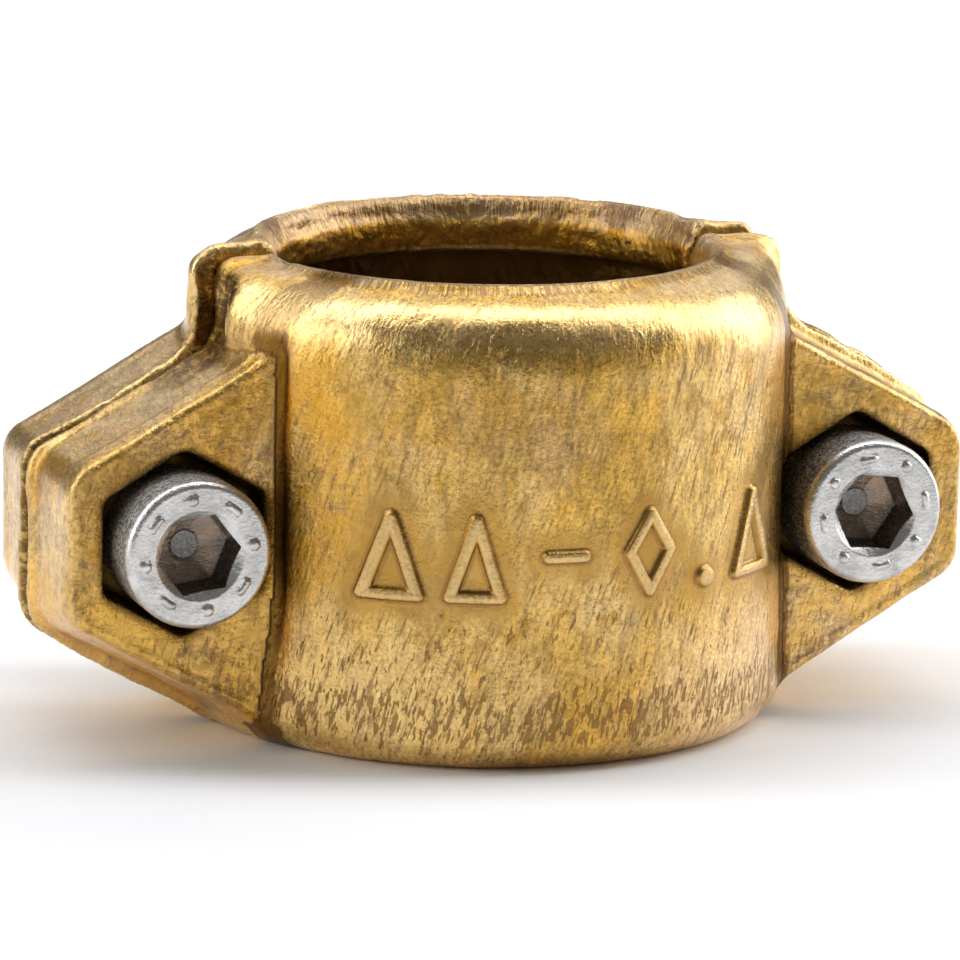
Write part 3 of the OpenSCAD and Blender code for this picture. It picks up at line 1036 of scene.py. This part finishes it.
def fine_marks(g, s, colour):
    """Fine directional marks, veins and flecks, stains on ears and flank, wrinkles, painted shade at the
    ears' roots, and painted reflections of the pale floor lower down.
    """
    fine_tone = g.add(g.swing(s.fibre, 1.1), g.swing(s.scratch, 1.0), g.swing(s.speck, 1.9))
    # the tone gets a little lighter towards the base: painted reflection of the pale floor
    tone = g.add(0.97, g.span(s.z, 14.0, 8.0, 0.0, 0.06), g.times(fine_tone, s.unmarked))
    colour = g.mix(1.0, colour, g.join(tone, tone, tone), "MULTIPLY")
    colour = g.mix(g.times(s.cut, 0.5), colour, CUT_BROWN)
    colour = g.mix(g.times(s.vein, 0.5), colour, VEIN_BROWN)
    fleck = g.times(g.span(s.mottle, 0.57, 0.66), g.add(s.ear_face, s.flank), s.unmarked)
    colour = g.mix(g.times(fleck, 0.45), colour, BRIGHT_GOLD)
    # this noise makes the real stains on the flank and ear faces, and breaks up the painted floor
    # reflection low on the ears
    stain_and_reflection = g.span(s.blotch, 0.62, 0.44)
    stain_and_shade = g.add(s.flank, g.times(s.ear_face, 0.5))
    colour = g.mix(g.times(stain_and_shade, stain_and_reflection, 0.6), colour, ORANGE)
    # brighter gold low on the ears: painted reflection of the pale floor
    colour = g.mix(g.times(s.ear_low, stain_and_reflection, 0.5), colour, EAR_REFLECTION_GOLD)
    colour = g.mix(g.times(s.marked, 0.65), colour, OCHRE)
    colour = g.mix(g.times(s.wrinkle, 0.75), colour, WRINKLE_BROWN)
    # painted shade in the crease where each ear meets the barrel, streaked by the noises
    streaks = g.times(g.math("SUBTRACT", g.add(s.mottle, s.fibre), 1.0), -1.1)
    root_shade = g.times(g.span(g.add(s.root, streaks), 0.25, 0.75), g.span(s.root, 0.0, 0.12))
    return g.mix(g.times(root_shade, 0.86), colour, ROOT_SHADE_BROWN)


def age_and_shade(g, s, colour):
    """Oxide in the hollows, wear on the edges, painted shade at the strokes' feet, in the pockets and
    along the seam, and a painted highlight on the shoulder.
    """
    # painted shade round the feet of the raised strokes
    colour = g.mix(g.times(s.foot, 0.55), colour, FOOT_SHADE_BROWN)
    colour = g.mix(g.times(s.oxide, 0.8), colour, OXIDE)
    worn = g.times(g.span(s.crevice, -0.16, -0.6), g.span(s.speck, 0.3, 0.6))
    colour = g.mix(g.times(worn, 0.6), colour, WORN)
    colour = g.mix(g.times(s.crest, g.span(s.speck, 0.35, 0.6, 0.25, 0.55)), colour, WORN)
    colour = g.mix(g.times(s.flash, g.span(s.blotch, 0.3, 0.6), 0.35), colour, PINK)
    # paler colour on the shoulder: partly polish, partly a painted highlight where the overhead light
    # falls
    colour = g.mix(g.times(s.polish, g.span(s.speck, 0.30, 0.5, 0.2, 0.5)), colour, POLISH_HIGHLIGHT)
    # painted shade on the pocket walls
    colour = g.mix(g.times(s.socketed, g.span(s.blotch, 0.3, 0.6, 0.6, 0.88)), colour, POCKET_SHADE_BROWN)
    # painted shade along the seam between the halves and on the trimmed left wall
    return g.mix(g.times(s.seam, g.span(s.mottle, 0.64, 0.46, 0.25, 0.9)), colour, SEAM_SHADE_BROWN)


def opening(g, s, colour, shear, below_shear):
    """The notched rim, the lip's sheared band with painted shade in darker orange below it, and painted
    shade down the bore.
    """
    bore = g.times(s.inside, g.span(s.z, TOP_Z - LIP_T + 0.5, TOP_Z - LIP_T - 0.6))
    colour = g.mix(g.times(s.rim, g.span(s.notch, 0.56, 0.44), 0.75), colour, NOTCH_BROWN)
    # darker orange below the sheared band: painted shade inside the opening
    colour = g.mix(g.times(below_shear, 0.7), colour, LIP_SHADE_ORANGE)
    colour = g.mix(g.times(shear, g.span(s.notch, 0.35, 0.6, 0.35, 0.65)), colour, SHEARED_PINK)
    # painted shade down the bore
    return g.mix(g.times(bore, 0.75), colour, BORE_SHADE)


def brass_relief(g, s, shear):
    """The height of the fine relief, in mm."""
    return g.add(
        g.times(s.fibre, 0.035, s.unmarked),
        g.times(s.scratch, 0.035, s.unmarked),
        g.times(s.speck, 0.06, g.less(s.polish, 0.6)),
        g.times(g.noise(s.grain, 1.1, 3.0, 0.55, 0.4), 0.05),
        g.times(s.vein, -0.02),
        g.times(s.wrinkle, -0.18),
        g.times(s.cut, -0.05),
        g.times(g.noise(s.grain, 0.5, 2.0, 0.5), s.inside, 0.5),
        g.times(g.swing(s.notch), g.add(g.times(s.rim, 0.45), g.times(shear, 0.07))),
        g.times(g.swing(g.noise(s.grain, 2.0, 4.0, 0.6)), s.socketed, 0.08))


def brass_roughness(g, s):
    return g.add(0.27, g.swing(s.speck, 0.25), g.times(g.span(s.smudge, 0.4, 0.7), 0.10),
                 g.times(s.oxide, 0.25), g.times(s.inside, 0.05), g.times(s.polish, -0.05))


def brass_material():
    g = Graph("forged_brass")
    s = Brass(g)
    lip_top = g.span(s.z, TOP_Z - 1.3, TOP_Z - 0.9)
    shear = g.times(s.inside, lip_top)
    below_shear = g.times(s.inside, g.less(lip_top))
    colour = slow_tints(g, s)
    colour = fine_marks(g, s, colour)
    colour = age_and_shade(g, s, colour)
    colour = opening(g, s, colour, shear, below_shear)
    # no coat where shade is painted: the ears' roots, the seam and the pockets
    stain_and_shade = g.math("ADD", g.add(s.root, s.seam), s.socketed, clamp=True)
    g.put(g.shader.inputs["Coat Weight"], g.times(g.less(stain_and_shade), COAT))
    g.put(g.shader.inputs["Coat Roughness"], COAT_ROUGHNESS)
    return g.finish(colour, brass_roughness(g, s), 1.0, brass_relief(g, s, shear))


# ---------------------------------------------------------------- stainless steel
STEEL_DULL = (0.58, 0.57, 0.55)
STEEL_BRIGHT = (0.76, 0.745, 0.72)
STEEL_SCRATCH = (0.40, 0.39, 0.37)
STEEL_GRIME = (0.30, 0.29, 0.27)
SIDE_GRIME = (0.12, 0.10, 0.085)
# painted shade on the socket's walls
SOCKET_SHADE_BROWN = (0.085, 0.052, 0.03)
CONE_BROWN = (0.34, 0.24, 0.16)
DISC_BRIGHT = (0.95, 0.92, 0.86)


def steel_material():
    g = Graph("stainless_steel")
    grain = g.attribute("grain", vector=True)
    zone = g.attribute("zone")
    a, b, h = g.split(grain)
    below_side = g.span(zone, 0.86, 0.82)
    side = g.span(zone, 0.84, 0.97)
    socket = g.times(g.span(zone, 0.64, 0.69), below_side)
    cone = g.times(g.span(zone, 0.74, 0.78), below_side)
    disc = g.times(g.span(zone, 0.52, 0.58), g.span(zone, 0.68, 0.62))
    cloud = g.noise(grain, 0.5, 4.0, 0.6)
    grit = g.noise(grain, 4.5, 3.0, 0.65)
    grime = g.noise(grain, 0.9, 5.0, 0.65, 0.4)
    brushed = g.join(g.times(g.add(a, g.times(b, 0.4)), 0.5), g.times(b, 5.0), h)
    scratch = g.noise(brushed, 1.6, 3.0, 0.6)
    colour = g.mix(g.span(cloud, 0.35, 0.65), STEEL_DULL, STEEL_BRIGHT)
    colour = g.mix(g.times(g.span(scratch, 0.5, 0.7), 0.08), colour, STEEL_SCRATCH)
    colour = g.mix(g.times(g.span(grime, 0.5, 0.66), 0.35), colour, STEEL_GRIME)
    colour = g.mix(g.times(side, g.span(grit, 0.60, 0.42), 0.85), colour, SIDE_GRIME)
    # painted shade on the socket's walls
    colour = g.mix(g.times(socket, 0.8), colour, SOCKET_SHADE_BROWN)
    colour = g.mix(g.times(cone, g.span(grime, 0.4, 0.6, 0.2, 0.8)), colour, CONE_BROWN)
    colour = g.mix(g.times(disc, g.span(grit, 0.40, 0.6)), colour, DISC_BRIGHT)
    height = g.add(g.times(grit, side, 0.16), g.times(grit, 0.04), g.times(scratch, 0.003),
                   g.times(g.noise(grain, 7.0, 2.0, 0.5), disc, 0.25),
                   g.times(g.noise(grain, 1.4, 3.0, 0.5), 0.03))
    rough = g.add(0.27, g.times(side, 0.18), g.times(disc, 0.2), g.swing(scratch, 0.2))
    # the disc is dull, the rest is bare metal
    return g.finish(colour, rough, g.less(disc, 0.75), height)


# ---------------------------------------------------------------- object
brass = brass_material()
steel = steel_material()
forged_half("front_half", "front", False, brass)
forged_half("rear_half", "rear", True, brass)
cap_screw("left_cap_screw", "left_screw", -1, steel)
cap_screw("right_cap_screw", "right_screw", 1, steel)
hex_nut("left_hex_nut", "rear", -1, steel)
hex_nut("right_hex_nut", "rear", 1, steel)

# ---------------------------------------------------------------- studio, in metres
CAMERA_AT = (-0.14275, -0.39369, 0.10674)
CAMERA_AZIMUTH = math.radians(-19.889)
CAMERA_ELEVATION = math.radians(12.293)
CAMERA_ROLL = math.radians(0.917)
LENS = 233.9
SENSOR = 36.0
LIGHTS_AIM = Vector((0, 0, 0.015))
WORLD_COLOUR = (1.0, 0.97, 0.93, 1)
WORLD_STRENGTH = 0.17
FLOOR_HALF = 1.5
FLOOR_LINES = 24


def direction_at(azimuth, elevation):
    """Unit vector towards a place seen at an azimuth and elevation, in radians."""
    across = math.cos(elevation)
    return Vector((math.sin(azimuth) * across, -math.cos(azimuth) * across, math.sin(elevation)))


def make_camera():
    right = Vector((math.cos(CAMERA_AZIMUTH), math.sin(CAMERA_AZIMUTH), 0))
    back = direction_at(CAMERA_AZIMUTH, CAMERA_ELEVATION)
    up = back.cross(right)
    c, s = math.cos(CAMERA_ROLL), math.sin(CAMERA_ROLL)
    turn = Matrix((c * right + s * up, -s * right + c * up, back)).transposed().to_4x4()
    data = bpy.data.cameras.new("camera")
    data.sensor_width = SENSOR
    data.lens = LENS
    data.clip_start = 0.01
    obj = bpy.data.objects.new("camera", data)
    bpy.context.scene.collection.objects.link(obj)
    obj.matrix_world = Matrix.Translation(CAMERA_AT) @ turn
    bpy.context.scene.camera = obj


def softbox(name, azimuth, elevation, distance, size, radiance, colour=(1, 1, 1)):
    """An area light that faces the object, given by its direction and its brightness."""
    direction = direction_at(math.radians(azimuth), math.radians(elevation))
    data = bpy.data.lights.new(name, "AREA")
    data.shape = "RECTANGLE"
    data.size, data.size_y = size
    data.energy = radiance * math.pi * size[0] * size[1]
    data.color = colour
    obj = bpy.data.objects.new(name, data)
    obj.location = direction * distance + LIGHTS_AIM
    obj.rotation_euler = direction.to_track_quat("Z", "Y").to_euler()
    bpy.context.scene.collection.objects.link(obj)


def make_lights():
    scene = bpy.context.scene
    scene.view_settings.view_transform = "Standard"
    world = bpy.data.worlds.new("studio")
    scene.world = world
    world.use_nodes = True
    world.node_tree.nodes["Background"].inputs["Color"].default_value = WORLD_COLOUR
    world.node_tree.nodes["Background"].inputs["Strength"].default_value = WORLD_STRENGTH
    softbox("overhead", 160, 81, 0.6, (1.4, 0.20), 4.5, (0.98, 1.0, 1.07))
    softbox("right", 95, 20, 0.6, (0.5, 0.45), 3.3)
    softbox("left", -98, 25, 0.6, (0.4, 0.4), 2.8)
    softbox("behind", 160, 35, 0.7, (0.7, 0.4), 1.2)


def make_floor():
    line = np.linspace(-FLOOR_HALF, FLOOR_HALF, FLOOR_LINES)
    x, y = np.meshgrid(line, line, indexing="ij")
    points = np.stack([x, y, np.zeros_like(x)], -1).reshape(-1, 3) / MM
    index = np.arange(FLOOR_LINES * FLOOR_LINES).reshape(FLOOR_LINES, FLOOR_LINES)
    quads = np.stack([index[:-1, :-1], index[1:, :-1], index[1:, 1:], index[:-1, 1:]], -1).reshape(-1, 4)
    floor = mesh_object("floor", points, quads)
    g = Graph("pale_floor")
    place = g.tree.nodes.new("ShaderNodeTexCoord").outputs["Object"]
    tone = g.noise(place, 6.0, 2.0, 0.5)
    colour = g.mix(tone, (0.93, 0.93, 0.93), (0.96, 0.96, 0.955))
    floor.data.materials.append(g.finish(colour, 0.9, 0.0))


make_camera()
make_lights()
make_floor()
